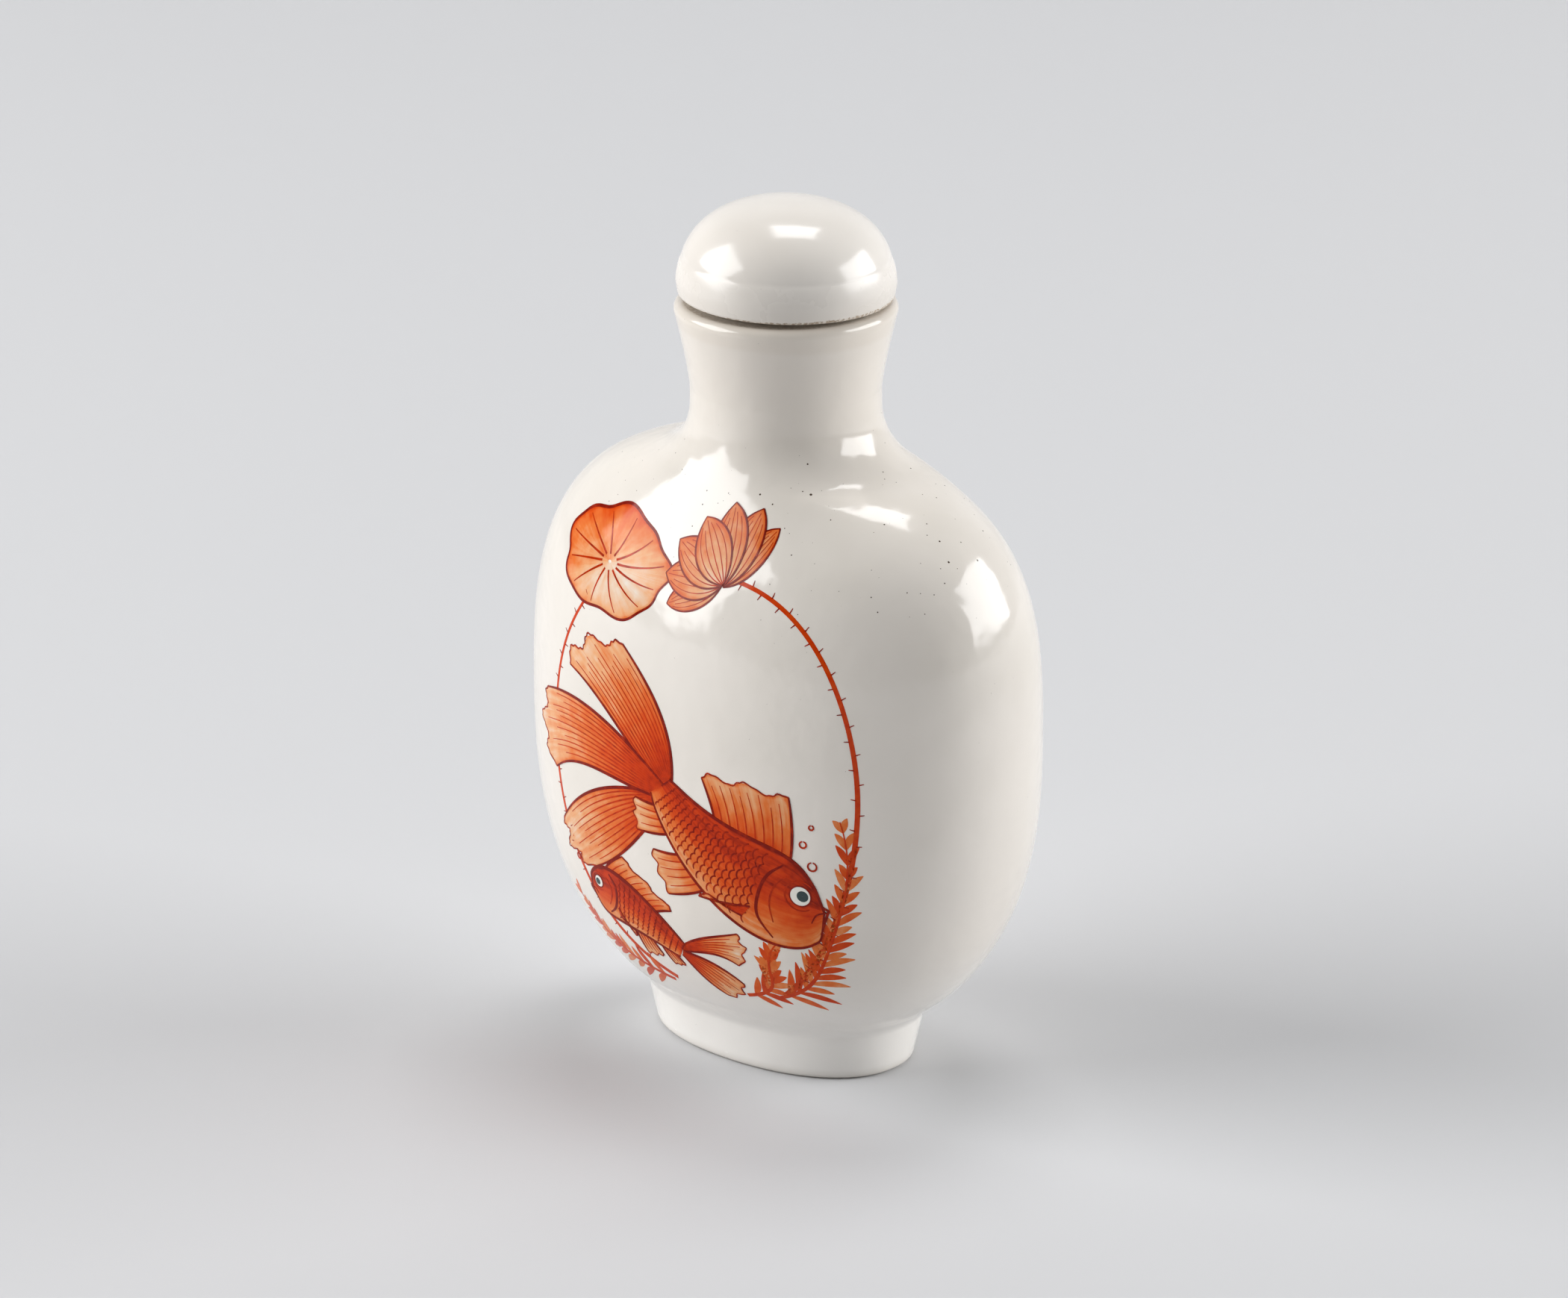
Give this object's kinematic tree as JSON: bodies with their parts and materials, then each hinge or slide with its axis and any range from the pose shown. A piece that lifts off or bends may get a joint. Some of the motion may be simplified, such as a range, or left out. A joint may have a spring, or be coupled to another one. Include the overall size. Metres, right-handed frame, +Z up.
{
  "type": "snuff bottle",
  "caption": "Small flattened porcelain bottle on an oval foot, with a domed stopper whose cork and spoon lift out of the neck.",
  "frame": {"origin": "middle of the foot, on the surface that the bottle stands on", "axes": "+Z up through the neck; the broad faces look along -Y and +Y, and -Y is the painted face; the narrow sides look along -X and +X"},
  "size_m": [0.046, 0.0304, 0.07],
  "materials": {
    "white_glaze": "glossy warm white glaze, unglazed foot rim",
    "cap_glaze": "glossy, slightly greyer white glaze, unglazed base",
    "cork": "natural cork",
    "bone": "polished bone"
  },
  "bodies": {
    "bottle": {"bottle": "white_glaze"},
    "stopper": {"stopper_cap": "cap_glaze", "cork_plug": "cork", "spoon": "bone"}
  },
  "joints": [
    {"name": "stopper_lift", "type": "slide", "parent": "bottle", "child": "stopper", "axis": [0, 0, 1], "range_m": [0, 0.055]}
  ]
}
